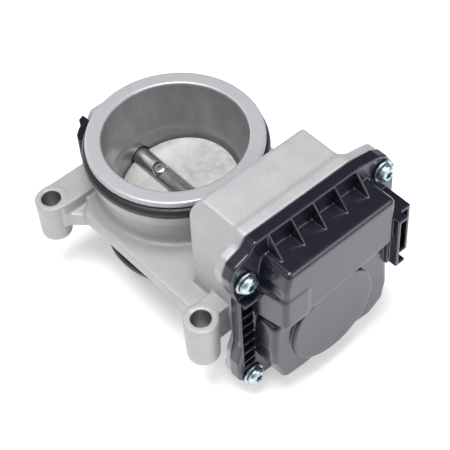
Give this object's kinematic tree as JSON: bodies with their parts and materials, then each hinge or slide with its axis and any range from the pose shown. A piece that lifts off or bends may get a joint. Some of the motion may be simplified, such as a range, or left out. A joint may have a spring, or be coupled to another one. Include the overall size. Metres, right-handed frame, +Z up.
{
  "type": "throttle body",
  "caption": "Electronic throttle body: a round air bore with a sprung throttle plate, cast lugs, and a gear case under a ribbed black cover.",
  "frame": {"origin": "on the axis of the air bore, in the plane of the four mounting lugs' lower faces", "axes": "+Z up the bore to the inlet, +X along the throttle shaft towards the gear cover, +Y across both"},
  "size_m": [0.1534, 0.1089, 0.0917],
  "materials": {
    "cast_aluminium": "satin sand-cast grain, machined on the seats",
    "machined_aluminium": "fine turned",
    "black_rubber": "satin",
    "steel": "ground",
    "zinc_plated_steel": "bright zinc with a blue-green tint",
    "gear_plastic": "satin natural plastic",
    "copper_windings": "lacquered copper wire",
    "brass": "bright",
    "black_plastic": "smooth moulded",
    "circuit_board": "satin"
  },
  "bodies": {
    "housing": {"throttle_housing": "cast_aluminium", "inlet_o_ring": "black_rubber", "outlet_o_ring": "black_rubber", "cover_seal": "black_rubber", "far_shaft_bearing": "steel", "near_shaft_bearing": "steel", "bearing_plug": "steel", "return_spring": "steel", "closed_stop_pin": "steel", "open_stop_pin": "steel", "idler_pin": "steel", "motor_can": "steel", "motor_bracket": "steel", "motor_screw_1": "zinc_plated_steel", "motor_screw_2": "zinc_plated_steel", "cover_screw_1": "zinc_plated_steel", "cover_screw_2": "zinc_plated_steel", "cover_screw_3": "zinc_plated_steel", "cover_screw_4": "zinc_plated_steel", "cover_screw_5": "zinc_plated_steel", "cover_washer_1": "zinc_plated_steel", "cover_washer_2": "zinc_plated_steel", "cover_washer_3": "zinc_plated_steel", "cover_washer_4": "zinc_plated_steel", "cover_washer_5": "zinc_plated_steel", "terminal_1": "brass", "terminal_2": "brass", "terminal_3": "brass", "terminal_4": "brass", "terminal_5": "brass", "terminal_6": "brass", "gear_cover": "black_plastic", "harness_clip": "black_plastic", "sensor_chip": "black_plastic", "sensor_board": "circuit_board"},
    "throttle": {"throttle_shaft": "steel", "throttle_plate": "machined_aluminium", "plate_screw_outer": "zinc_plated_steel", "plate_screw_inner": "zinc_plated_steel", "sector_gear": "gear_plastic", "sensor_magnet": "steel"},
    "idler": {"idler_gear": "gear_plastic"},
    "rotor": {"motor_shaft": "steel", "motor_armature": "copper_windings", "motor_pinion": "brass"}
  },
  "joints": [
    {"name": "motor_spin", "type": "hinge", "parent": "housing", "child": "rotor", "pos_m": [0, -0.01, 0.0444], "axis": [1, 0, 0], "range_deg": [-133.3, 1040]},
    {"name": "idler_turn", "type": "hinge", "parent": "housing", "child": "idler", "pos_m": [0, 0.00802, 0.03573], "axis": [1, 0, 0], "range_deg": [-260.2, 33.5]},
    {"name": "throttle_turn", "type": "hinge", "parent": "housing", "child": "throttle", "pos_m": [0, 0, 0.011], "axis": [1, 0, 0], "range_deg": [-10.01, 78.01], "stiffness_Nm_per_rad": 0.15, "deforming": ["return_spring"]}
  ],
  "couplings": [
    {"joint": "idler_turn", "follows": "motor_spin", "ratio": -0.25},
    {"joint": "throttle_turn", "follows": "motor_spin", "ratio": 0.075}
  ]
}
